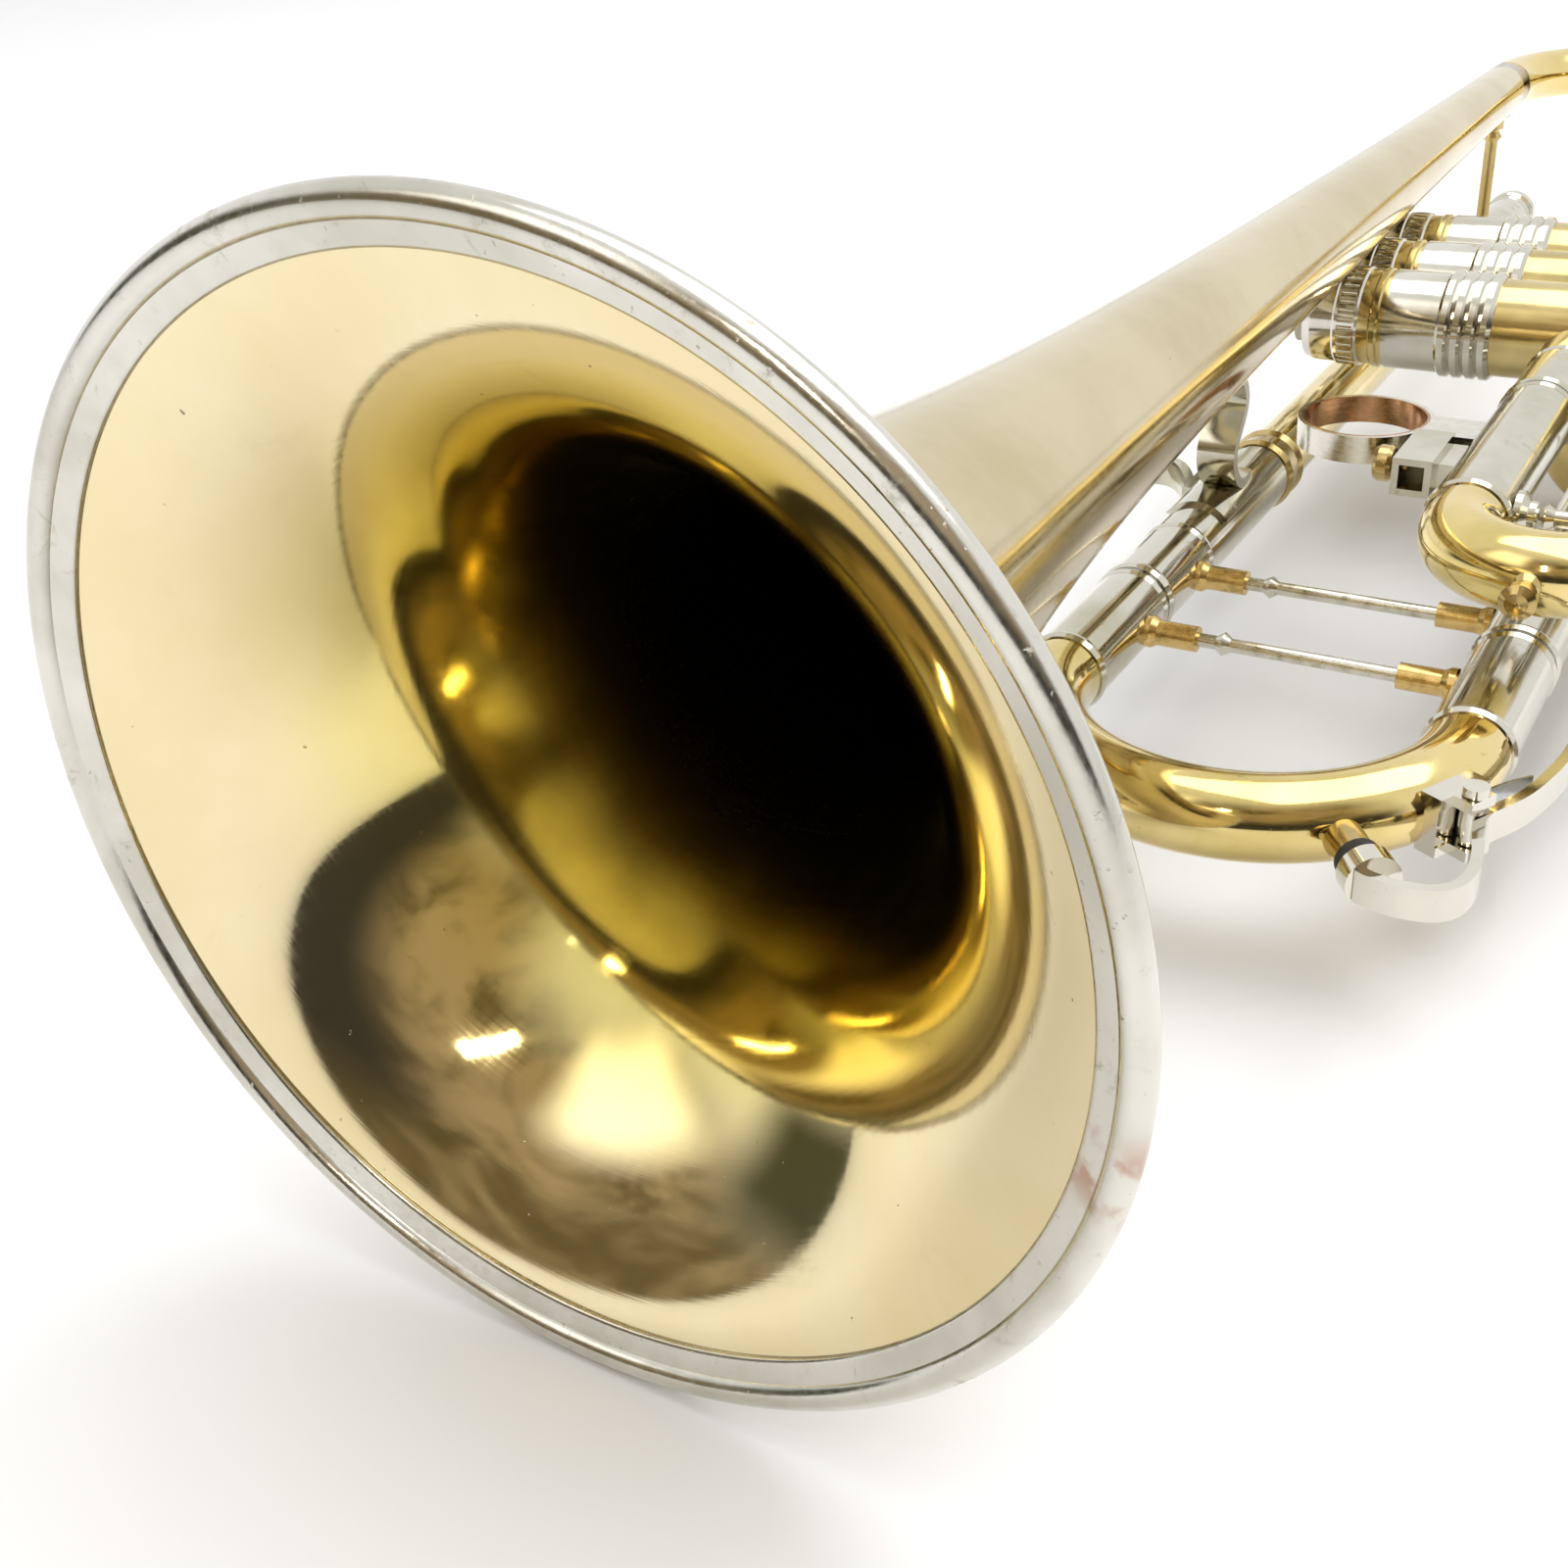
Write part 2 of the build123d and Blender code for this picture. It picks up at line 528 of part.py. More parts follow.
def valve_spring(i):
    """Coil spring between the piston and the bottom cap."""
    x, wire, coil, turns = VALVE_XS[i], 0.42, 6.2, 6
    start, end = PISTON_BOTTOM + wire + 0.05, CASING_BOTTOM + 3.15 - wire
    path = Helix(pitch=(end - start) / turns, height=end - start, radius=coil)
    section = Plane(origin=path @ 0, z_dir=path % 0) * Circle(wire)
    spring = sweep(section, path=path)
    return Plane(origin=(x, start, VALVE_Z), z_dir=(0, 1, 0)).location * spring


def valve_knuckles():
    """Two short tubes that join neighbouring casings, and the elbow from the bell's leg."""
    tubes = [bell_elbow()]
    for i in range(2):
        start, end = (VALVE_XS[i + 1], PORT_Y, VALVE_Z), (VALVE_XS[i], PORT_Y, VALVE_Z)
        tubes.append(pipe(start, end, BOW_OUT, BOW_IN) - casing_core(i) - casing_core(i + 1))
    return tubes


# ---------------------------------------------------------------- valve slides


def third_sleeve(y):
    start = (VALVE_XS[0], y, THIRD_Z)
    return sleeve(start, (THIRD_JOINT_X, y, THIRD_Z), (1, 0, 0)) - casing_core(0)


def third_slide_leg(y):
    return pipe((VALVE_XS[0] + 14, y, THIRD_Z), (THIRD_FERRULE_X, y, THIRD_Z), LEG_OUT, LEG_IN)


def third_slide_ferrule(y):
    return slide_ferrule(THIRD_JOINT_X + 0.3, THIRD_FERRULE_X, y, THIRD_Z, 1)


def third_slide_bow():
    bow = u_bend((THIRD_BOW_X, THIRD_TOP_Y, THIRD_Z), THIRD_R, (1, 0, 0), BOW_OUT, BOW_IN)
    for y in (THIRD_TOP_Y, THIRD_TOP_Y + 2 * THIRD_R):
        bow += pipe((THIRD_FERRULE_X, y, THIRD_Z), (THIRD_BOW_X, y, THIRD_Z), BOW_OUT, BOW_IN)
    return bow


def third_slide_ring():
    """Finger ring, and the foot that holds it on the upper ferrule."""
    low, high = THIRD_Z - RING_WIDTH / 2, THIRD_Z + RING_WIDTH / 2
    ring = pipe((RING_X, RING_Y, low), (RING_X, RING_Y, high), RING_OUT, RING_IN)
    foot_end = THIRD_TOP_Y - SLEEVE_OUT + 1.5
    foot_start = RING_Y + RING_OUT - 1.0
    middle, tall = (foot_start + foot_end) / 2, foot_end - foot_start
    foot = Pos(RING_X + 1.0, middle, THIRD_Z) * Box(9.0, tall, RING_WIDTH)
    foot -= rod((RING_X, RING_Y, low - 1), (RING_X, RING_Y, high + 1), RING_IN + 0.6)
    return ring + (foot - third_upper_core())


def third_upper_core():
    """Space of the third slide's upper tube, for cutting what is fixed to it."""
    return rod((RING_X - 15, THIRD_TOP_Y, THIRD_Z), (LYRE_END_X + 9, THIRD_TOP_Y, THIRD_Z), SLEEVE_OUT)


def lyre_holder():
    """Square socket for a music lyre, on a small foot in front of the finger ring."""
    start = RING_X + 5.6
    length, middle = LYRE_END_X - start, (LYRE_END_X + start) / 2
    socket = Pos(middle, LYRE_Y, THIRD_Z) * Box(length, LYRE_SIZE, LYRE_SIZE)
    bore_depth, bore_width = 13.0, 4.0
    bore = Pos(LYRE_END_X - bore_depth / 2, LYRE_Y, THIRD_Z) * Box(bore_depth, bore_width, bore_width)
    foot_width = THIRD_TOP_Y - SLEEVE_OUT + 1.5 - LYRE_Y
    foot = Pos(middle, LYRE_Y + foot_width / 2, THIRD_Z) * Box(10.0, foot_width, 4.0)
    thread = rod((middle + 2.0, LYRE_Y, THIRD_Z), (middle + 2.0, LYRE_Y - 6, THIRD_Z), 1.1)
    return socket + (foot - third_upper_core()) - bore - thread


def lyre_screw():
    """Thumb screw in the side of the lyre socket."""
    x = (LYRE_END_X + RING_X + 5.6) / 2 + 2.0
    face = LYRE_SIZE / 2
    outline = [(face - 1.4, 0), (face - 1.4, 1.08), (face + 0.7, 1.08), (face + 1.0, 2.6), (face + 1.6, 3.0)]
    outline += [(face + 3.2, 3.0), (face + 3.8, 2.6), (face + 4.2, 1.4), (face + 4.3, 0)]
    return turned((x, LYRE_Y, THIRD_Z), (0, -1, 0), outline)


def third_slide_brace():
    x = THIRD_FERRULE_X - 6
    start, end = THIRD_TOP_Y + SLEEVE_OUT - 0.3, THIRD_TOP_Y + 2 * THIRD_R - SLEEVE_OUT + 0.3
    post = brace_post((x, start, THIRD_Z), (x, end, THIRD_Z), 1.3, 3.6, 3.0)
    for y in (THIRD_TOP_Y, THIRD_TOP_Y + 2 * THIRD_R):
        post -= rod((x - 8, y, THIRD_Z), (x + 8, y, THIRD_Z), SLEEVE_OUT)
    return post


def third_slide_knob():
    """Small pull knob on the front of the third slide's bow."""
    start = THIRD_BOW_X + THIRD_R + BOW_OUT - 1.0
    outline = [(0, 0), (0, 2.6), (1.6, 1.6), (3.0, 1.4), (4.0, 2.4), (6.0, 2.6), (6.8, 1.6), (7.0, 0)]
    knob = turned((start, THIRD_TOP_Y + THIRD_R, THIRD_Z), (1, 0, 0), outline)
    return knob - u_bend((THIRD_BOW_X, THIRD_TOP_Y, THIRD_Z), THIRD_R, (1, 0, 0), BOW_OUT, 0.01)


def first_sleeve(y):
    start = (VALVE_XS[2], y, VALVE_Z)
    return sleeve(start, (FIRST_JOINT_X, y, VALVE_Z), (-1, 0, 0)) - casing_core(2)


def first_slide_leg(y):
    return pipe((FIRST_BOW_X, y, VALVE_Z), (VALVE_XS[2] - 11, y, VALVE_Z), LEG_OUT, LEG_IN)


def first_slide_ferrule(y):
    return slide_ferrule(FIRST_JOINT_X - 0.3, FIRST_BOW_X, y, VALVE_Z, -1)


def first_slide_bow():
    return u_bend((FIRST_BOW_X, FIRST_TOP_Y, VALVE_Z), FIRST_R, (-1, 0, 0), BOW_OUT, BOW_IN)


def second_sleeve(y):
    x = VALVE_XS[1]
    tube = pipe((x, y, VALVE_Z), (x, y, SECOND_JOINT_Z), SLEEVE_OUT, SLEEVE_IN)
    mouth = collar((x, y, SECOND_JOINT_Z + 1.2), (0, 0, 1), SLEEVE_IN + 0.1)
    return tube + mouth - casing_core(1)


def second_slide_leg(y):
    x = VALVE_XS[1]
    return pipe((x, y, VALVE_Z - 11), (x, y, SECOND_BOW_Z), LEG_OUT, LEG_IN)


def second_slide_ferrule(y):
    x, top = VALVE_XS[1], SECOND_JOINT_Z - 0.3
    tube = pipe((x, y, top), (x, y, SECOND_BOW_Z), SLEEVE_OUT, LEG_OUT)
    return tube + collar((x, y, top - 1.2), (0, 0, 1), LEG_OUT + 0.1)


def second_slide_bow():
    top = (VALVE_XS[1], SECOND_TOP_Y, SECOND_BOW_Z)
    return u_bend(top, SECOND_R, (0, 0, -1), BOW_OUT, BOW_IN)


# ---------------------------------------------------------------- braces and hook


def front_brace():
    """S-shaped strap between the bell and the upper sleeve, with a saddle round the sleeve."""
    x, saddle_out = 242.0, SLEEVE_OUT + 0.7
    shell = pipe((x - 9, 0, 0), (x + 9, 0, 0), saddle_out, SLEEVE_OUT)
    saddle = shell & Pos(x, 0, saddle_out) * Box(18, 11.2, 2 * saddle_out - 8.0)
    line = [(x - 7, 7.4), (x, 8.4), (x + 2.4, 14.0), (x - 2.4, 22.0), (x + 1.0, 27.4), (x + 8, 29.6)]
    strap = Rot(90, 0, 0) * strip([(px, pz, 0) for px, pz in line], 1.8, -3.4, 3.4)
    strap = Pos(0, BELL_Y / 2, 0) * strap
    return saddle + (strap - bell_core() - rod((x - 12, 0, 0), (x + 12, 0, 0), SLEEVE_OUT))


def rear_brace():
    """Turned post between the bell's tail and the leadpipe."""
    x, y = 43.5, BELL_Y / 2
    post = brace_post((x, y, BELL_Z - 5.2), (x, y, 4.4), 1.5, 3.6, 4.0)
    pipe_core = leadpipe() + rod((x - 9, 0, 0), (x + 9, 0, 0), 5.0)
    return post - bell_core() - pipe_core


def pinky_hook():
    """Hook for the little finger on the upper sleeve."""
    x, thick, reach = 225.0, 1.8, 13.0
    foot = Pos(x + 3, -7.0, 0) * Box(14.0, 3.0, 5.6)
    line = [(x + 8, -7.8), (x + 3, -10), (x - 4, -17), (x - 1, -17 - reach * 0.5)]
    hook = strip([(px, py, 0) for px, py in line + [(x + 7, -17 - reach * 0.55)]], thick, -2.7, 2.7)
    return foot + hook - rod((x - 12, 0, 0), (x + 20, 0, 0), SLEEVE_OUT)


# ---------------------------------------------------------------- write the parts


def write(name, shape):
    solids = shape if isinstance(shape, list) else [shape]
    flat = [solid for piece in solids for solid in piece.solids()]
    export_step(flat[0] if len(flat) == 1 else Compound(children=flat), f"parts/{name}.step")


def pair(maker, top_y, span_radius):
    """Upper and lower copy of a sleeve, leg or ferrule."""
    return [maker(top_y), maker(top_y + 2 * span_radius)]


def write_all():
    os.makedirs("parts", exist_ok=True)
    singles = [bell, bell_rim, bell_bow, bell_ferrule, receiver, leadpipe, leadpipe_ferrule]
    singles += [upper_sleeve, lower_sleeve, outer_slide_brace, main_slide_bow]
    singles += [main_slide_brace, water_key_saddle, water_key_nipple, water_key_pin]
    singles += [water_key_lever, water_key_cork, water_key_spring, valve_knuckles]
    singles += [third_slide_bow, third_slide_ring, third_slide_brace, third_slide_knob]
    singles += [lyre_holder, lyre_screw]
    singles += [first_slide_bow, second_slide_bow, front_brace, rear_brace, pinky_hook]
    for maker in singles:
        write(maker.__name__, maker())
    slides = [("main_slide_legs", main_slide_leg, 0, MAIN_R)]
    slides += [("main_slide_ferrules", main_slide_ferrule, 0, MAIN_R)]
    slides += [("third_sleeves", third_sleeve, THIRD_TOP_Y, THIRD_R)]
    slides += [("third_slide_legs", third_slide_leg, THIRD_TOP_Y, THIRD_R)]
    slides += [("third_slide_ferrules", third_slide_ferrule, THIRD_TOP_Y, THIRD_R)]
    slides += [("first_sleeves", first_sleeve, FIRST_TOP_Y, FIRST_R)]
    slides += [("first_slide_legs", first_slide_leg, FIRST_TOP_Y, FIRST_R)]
    slides += [("first_slide_ferrules", first_slide_ferrule, FIRST_TOP_Y, FIRST_R)]
    slides += [("second_sleeves", second_sleeve, SECOND_TOP_Y, SECOND_R)]
    slides += [("second_slide_legs", second_slide_leg, SECOND_TOP_Y, SECOND_R)]
    slides += [("second_slide_ferrules", second_slide_ferrule, SECOND_TOP_Y, SECOND_R)]
    for name, maker, top_y, span_radius in slides:
        write(name, pair(maker, top_y, span_radius))
    for i in range(3):
        number = 3 - i
        for maker in (casing, piston, stem, pearl, valve_spring):
            write(f"{maker.__name__}_{number}", maker(i))
    groups = [("casing_bands", casing_band), ("top_caps", top_cap), ("bottom_caps", bottom_cap)]
    for name, maker in groups + [("felts", felt)]:
        write(name, [maker(i) for i in range(3)])


write_all()
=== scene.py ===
import math

import bpy
from mathutils import Matrix, Vector


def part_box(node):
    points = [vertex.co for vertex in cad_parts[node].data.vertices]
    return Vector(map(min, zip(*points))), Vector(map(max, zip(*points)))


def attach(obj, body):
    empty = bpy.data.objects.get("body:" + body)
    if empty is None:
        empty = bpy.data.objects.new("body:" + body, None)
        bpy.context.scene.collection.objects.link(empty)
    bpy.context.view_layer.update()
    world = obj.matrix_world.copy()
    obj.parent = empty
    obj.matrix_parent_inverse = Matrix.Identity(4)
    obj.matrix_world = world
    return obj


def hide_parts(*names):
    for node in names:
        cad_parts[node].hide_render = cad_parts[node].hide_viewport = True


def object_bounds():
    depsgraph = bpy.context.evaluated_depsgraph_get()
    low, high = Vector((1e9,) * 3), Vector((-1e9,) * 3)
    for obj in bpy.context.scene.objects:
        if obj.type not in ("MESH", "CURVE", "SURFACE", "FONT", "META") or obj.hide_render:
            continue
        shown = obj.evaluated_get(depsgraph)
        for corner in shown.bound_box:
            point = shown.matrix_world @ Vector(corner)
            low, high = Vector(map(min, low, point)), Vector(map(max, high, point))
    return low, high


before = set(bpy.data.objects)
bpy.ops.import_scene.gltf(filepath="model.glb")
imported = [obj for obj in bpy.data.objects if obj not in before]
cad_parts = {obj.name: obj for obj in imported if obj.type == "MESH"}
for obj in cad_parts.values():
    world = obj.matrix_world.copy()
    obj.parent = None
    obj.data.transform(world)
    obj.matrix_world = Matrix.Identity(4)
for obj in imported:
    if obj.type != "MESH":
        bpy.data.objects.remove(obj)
cad_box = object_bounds()

# Metres, in the row frame: +X along the bell to its rim, +Y to the valves' bottom caps, +Z up.

RIM_LOW, RIM_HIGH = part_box("bell_rim")
RIM_X = RIM_HIGH.x
RIM_RADIUS = (RIM_HIGH.y - RIM_LOW.y) / 2
BELL_Y = (RIM_HIGH.y + RIM_LOW.y) / 2
BELL_Z = (RIM_HIGH.z + RIM_LOW.z) / 2
FLOOR_Z = cad_box[0].z

# The bell's profile, the same formula as in the CAD part
FLARE, FLARE_POWER, RIM_SETBACK = 0.015, 0.665, 0.0011
TAIL_START, TAIL_DRAW = 0.240, 0.0066
BELL_TAIL, BELL_EDGE, BELL_WALL = 0.4016, 0.0017, 0.0007
BEAD, BAND_INNER, BAND_THICK = 0.0016, 0.0567, 0.00045

# How finely the bell and the rim are divided
BELL_ROWS, BELL_SEGMENTS, RIM_SEGMENTS = 150, 320, 512
BEAD_POINTS, BAND_STEPS = 36, 10


# ---------------------------------------------------------------- node graphs


class Graph:
    """Short ways to add shader nodes to one node tree."""

    def __init__(self, owner):
        owner.use_nodes = True
        self.tree = owner.node_tree
        self.tree.nodes.clear()

    def node(self, kind, **settings):
        made = self.tree.nodes.new("ShaderNode" + kind)
        for key, value in settings.items():
            setattr(made, key, value)
        return made

    def put(self, socket, value):
        """Sets a socket to a number or colour, or links an output to it."""
        if isinstance(value, bpy.types.NodeSocket):
            self.tree.links.new(value, socket)
        elif isinstance(value, (tuple, list)) and len(value) == 3 and len(socket.default_value) == 4:
            socket.default_value = (*value, 1.0)
        else:
            socket.default_value = value

    def math(self, operation, a, b=None, clamp=False):
        made = self.node("Math", operation=operation, use_clamp=clamp)
        self.put(made.inputs[0], a)
        if b is not None:
            self.put(made.inputs[1], b)
        return made.outputs[0]

    def ramp(self, value, low, high, start=0.0, end=1.0):
        """Smooth step from start, where value is low, to end, where it is high."""
        made = self.node("MapRange", interpolation_type="SMOOTHSTEP")
        for name, setting in (("Value", value), ("From Min", low), ("From Max", high)):
            self.put(made.inputs[name], setting)
        self.put(made.inputs["To Min"], start)
        self.put(made.inputs["To Max"], end)
        return made.outputs["Result"]

    def mix(self, share, a, b):
        made = self.node("Mix", data_type="RGBA")
        self.put(made.inputs[0], share)
        self.put(made.inputs[6], a)
        self.put(made.inputs[7], b)
        return made.outputs[2]

    def position(self):
        return self.node("TexCoord").outputs["Object"]

    def split(self, vector):
        made = self.node("SeparateXYZ")
        self.put(made.inputs[0], vector)
        return made.outputs

    def join(self, x, y, z):
        made = self.node("CombineXYZ")
        for socket, value in zip(made.inputs, (x, y, z)):
            self.put(socket, value)
        return made.outputs[0]

    def noise(self, vector, scale, detail=3.0, roughness=0.5, distortion=0.0):
        made = self.node("TexNoise")
        self.put(made.inputs["Vector"], vector)
        for name, value in (("Scale", scale), ("Detail", detail), ("Roughness", roughness)):
            made.inputs[name].default_value = value
        made.inputs["Distortion"].default_value = distortion
        return made.outputs["Fac"]

    def stretched(self, vector, x, y, z):
        made = self.node("Mapping")
        self.put(made.inputs["Vector"], vector)
        made.inputs["Scale"].default_value = (x, y, z)
        return made.outputs[0]

    def bump(self, height, distance, strength=1.0, normal=None):
        made = self.node("Bump")
        made.inputs["Strength"].default_value = strength
        made.inputs["Distance"].default_value = distance
        self.put(made.inputs["Height"], height)
        if normal is not None:
            self.put(made.inputs["Normal"], normal)
        return made.outputs[0]

    def surface(self, color, roughness, normal, **constants):
        shader = self.node("BsdfPrincipled")
        self.put(shader.inputs["Base Color"], color)
        self.put(shader.inputs["Roughness"], roughness)
        if normal is not None:
            self.put(shader.inputs["Normal"], normal)
        for name, value in constants.items():
            shader.inputs[name.replace("_", " ")].default_value = value
        output = self.node("OutputMaterial")
        self.tree.links.new(shader.outputs[0], output.inputs[0])


# ---------------------------------------------------------------- materials

BRASS = (0.80, 0.64, 0.29)
BRASS_DEEP = (0.62, 0.49, 0.17)
NICKEL = (0.64, 0.61, 0.53)
NICKEL_BRIGHT = (0.72, 0.69, 0.61)
NICKEL_GREEN = (0.36, 0.34, 0.23)
COPPER = (0.42, 0.20, 0.12)
GRIME = (0.05, 0.035, 0.02)
# Painted reflection: the bell's inside turns from a painted deep gold, which stands for light bounced
# between its walls, to pale between these distances from its axis
PAINTED_REFLECTION_GOLD = (0.76, 0.62, 0.17)
PAINTED_GOLD_FULL_RADIUS, PAINTED_GOLD_END_RADIUS = 0.029, 0.047
# How far inside its outer face the ring's worn wall begins
RING_WORN_DEPTH = 0.0007
# Painted shade: the brown that the bell's inside darkens to deep in the throat
THROAT_SHADE_BROWN = (0.085, 0.055, 0.022)
# How far behind the rim the painted shade on the bell's inside begins, and where it is darkest
THROAT_SHADE_START, THROAT_SHADE_END = 0.016, 0.058
# The dirty line where the bell meets the band of the rim, as distances inside the band's edge
SEAM_START, SEAM_END = 0.0007, 0.0001
# How much of a brace's length each brass socket covers
SOCKET_LENGTH = 0.0086
# Stretches of the fine scratches: they run along the axis with the small number
ALL_WAYS = (1.0, 1.0, 1.0)
ALONG_TUBES = (0.15, 1.0, 1.0)
ACROSS_CASINGS = (1.0, 0.15, 1.0)


def metal(name, main, second, tarnish, tarnished, rough, scratches, grain, coat=0.0):
    """Worn metal: two tones in soft clouds, tarnish in spots, fine scratches and slight waves."""
    material = bpy.data.materials.new(name)
    g = Graph(material)
    at = g.position()
    clouds = g.ramp(g.noise(at, 38.0, 5.0, 0.6), 0.35, 0.68)
    color = g.mix(clouds, main, second)
    blots = g.noise(at, 150.0, 8.0, 0.68, 0.4)
    spots = g.ramp(blots, 0.74 - tarnished, 0.80 - tarnished * 0.4)
    color = g.mix(g.math("MULTIPLY", spots, 0.75), color, tarnish)
    specks = g.ramp(g.noise(at, 1500.0, 2.0), 0.74, 0.78)
    color = g.mix(g.math("MULTIPLY", specks, 0.55), color, tarnish)
    lines = g.noise(g.stretched(at, *scratches), 420.0, 6.0, 0.7)
    roughness = g.ramp(lines, 0.3, 0.75, rough * 0.7, rough * 1.6)
    roughness = g.math("ADD", roughness, g.math("MULTIPLY", spots, 0.18))
    waves = g.noise(at, 55.0, 2.0)
    normal = g.bump(waves, 0.00010, 0.6)
    normal = g.bump(lines, 0.000012, grain, normal)
    normal = g.bump(g.math("MULTIPLY", g.math("ADD", specks, spots), -1.0), 0.00003, 0.4, normal)
    g.surface(color, roughness, normal, Metallic=1.0, Coat_Weight=coat, Coat_Roughness=0.05)
    return material


def bell_metal(name, main, second, tarnish, rough, inside):
    """Spun brass: clouds, rings left by spinning, stains, pits and long waves; inside, also a painted
    reflection gold and a painted throat shade.
    """
    material = bpy.data.materials.new(name)
    g = Graph(material)
    at = g.position()
    x, y, z = g.split(at)
    across = g.join(0.0, g.math("SUBTRACT", y, BELL_Y), g.math("SUBTRACT", z, BELL_Z))
    length = g.node("VectorMath", operation="LENGTH")
    g.put(length.inputs[0], across)
    radius = length.outputs["Value"]
    turn = g.math("ARCTAN2", g.math("SUBTRACT", z, BELL_Z), g.math("SUBTRACT", y, BELL_Y))
    clouds = g.ramp(g.noise(at, 24.0, 5.0, 0.62, 0.3), 0.32, 0.7)
    color = g.mix(clouds, main, second)
    stain = g.ramp(g.noise(g.stretched(at, 0.5, 1.0, 1.0), 60.0, 8.0, 0.7, 0.6), 0.58, 0.78)
    color = g.mix(g.math("MULTIPLY", stain, 0.35), color, tarnish)
    pits = g.ramp(g.noise(at, 700.0, 3.0, 0.6), 0.735, 0.77)
    color = g.mix(g.math("MULTIPLY", pits, 0.8), color, GRIME)
    if inside:
        seam = g.ramp(radius, BAND_INNER - SEAM_START, BAND_INNER - SEAM_END)
        edge = g.ramp(g.noise(at, 260.0, 4.0, 0.65), 0.35, 0.62)
        grime = g.math("MULTIPLY", seam, g.math("ADD", 0.35, g.math("MULTIPLY", edge, 0.6)))
        color = g.mix(grime, color, GRIME)
        # Painted reflection: deeper gold nearer the axis, standing for light bounced between the bell's
        # walls
        painted_gold = g.ramp(radius, PAINTED_GOLD_FULL_RADIUS, PAINTED_GOLD_END_RADIUS, 0.9, 0.0)
        color = g.mix(painted_gold, color, PAINTED_REFLECTION_GOLD)
        # Painted shade: depth marks the throat, where the inside darkens towards brown and is made rougher;
        # the cloudy noise wobbles its edge
        cloudy = g.math("MULTIPLY", g.math("SUBTRACT", g.noise(at, 55.0, 4.0, 0.6), 0.5), 0.02)
        along = g.math("ADD", x, cloudy)
        depth = g.ramp(along, RIM_X - THROAT_SHADE_END, RIM_X - THROAT_SHADE_START, 0.96, 0.0)
        color = g.mix(depth, color, THROAT_SHADE_BROWN)
    rings = g.noise(g.join(radius, g.math("MULTIPLY", x, 0.6), 0.0), 2600.0, 4.0, 0.7)
    slow_turn, slow_radius = g.math("MULTIPLY", turn, 0.12), g.math("MULTIPLY", radius, 0.5)
    rays = g.noise(g.join(slow_turn, slow_radius, 0.0), 260.0, 4.0, 0.6)
    fine = g.math("ADD", g.math("MULTIPLY", rings, 0.6), g.math("MULTIPLY", rays, 0.4))
    roughness = g.ramp(fine, 0.35, 0.7, rough * 0.7, rough * 1.5)
    roughness = g.math("ADD", roughness, g.math("MULTIPLY", stain, 0.12))
    if inside:
        roughness = g.math("ADD", roughness, g.math("MULTIPLY", depth, 0.22))
    normal = g.bump(g.noise(at, 20.0, 2.0), 0.0004, 0.5)
    normal = g.bump(fine, 0.000008, 0.5, normal)
    normal = g.bump(g.math("MULTIPLY", pits, -1.0), 0.00004, 0.5, normal)
    g.surface(color, roughness, normal, Metallic=1.0, Coat_Weight=0.12, Coat_Roughness=0.06)
    return material


# Parts of the rim, in radians round the bell from +Y towards +Z, that are chipped or worn to copper
CHIPPED_ARCS = ((0.52, 0.86), (-0.05, 0.20))
COPPER_ARC = (-0.27, -0.13)


def arc(g, turn, start, end, soft):
    """1 inside a range of angles, with soft ends."""
    begin = g.ramp(turn, start - soft, start + soft)
    return g.math("MULTIPLY", begin, g.ramp(turn, end - soft, end + soft, 1.0, 0.0))


def rim_metal():
    """Nickel plate of the rim: scratched, with chips down to copper and brass, and green stains."""
    material = bpy.data.materials.new("rim_nickel")
    g = Graph(material)
    at = g.position()
    x, y, z = g.split(at)
    turn = g.math("ARCTAN2", g.math("SUBTRACT", z, BELL_Z), g.math("SUBTRACT", y, BELL_Y))
    clouds = g.ramp(g.noise(at, 45.0, 5.0, 0.6), 0.35, 0.68)
    color = g.mix(clouds, (0.70, 0.68, 0.62), (0.54, 0.52, 0.45))
    green = g.ramp(g.noise(at, 210.0, 8.0, 0.72, 0.5), 0.56, 0.74)
    color = g.mix(g.math("MULTIPLY", green, 0.65), color, (0.27, 0.25, 0.15))
    chips = g.ramp(g.noise(at, 520.0, 6.0, 0.7), 0.67, 0.69)
    where = g.ramp(g.noise(at, 26.0, 2.0), 0.5, 0.6)
    for start, end in CHIPPED_ARCS:
        where = g.math("MAXIMUM", where, arc(g, turn, start, end, 0.06))
    chips = g.math("MULTIPLY", chips, where)
    color = g.mix(g.math("MULTIPLY", chips, 0.85), color, (0.34, 0.22, 0.10))
    worn = g.math("MULTIPLY", arc(g, turn, *COPPER_ARC, 0.05), g.ramp(g.noise(at, 190.0, 4.0), 0.42, 0.56))
    color = g.mix(g.math("MULTIPLY", worn, 0.7), color, COPPER)
    along_rim = g.join(g.math("MULTIPLY", turn, 0.02), g.math("MULTIPLY", x, 1.5), 0.0)
    brush = g.noise(along_rim, 2400.0, 5.0, 0.7)
    nicks = g.noise(at, 900.0, 4.0, 0.7)
    roughness = g.ramp(brush, 0.3, 0.72, 0.10, 0.24)
    roughness = g.math("ADD", roughness, g.math("MULTIPLY", green, 0.2))
    normal = g.bump(g.noise(at, 90.0, 3.0), 0.00012, 0.7)
    normal = g.bump(brush, 0.00002, 0.6, normal)
    normal = g.bump(g.ramp(nicks, 0.66, 0.74, 0.0, -1.0), 0.00006, 0.6, normal)
    normal = g.bump(g.math("MULTIPLY", chips, -1.0), 0.00006, 0.8, normal)
    g.surface(color, roughness, normal, Metallic=1.0)
    return material


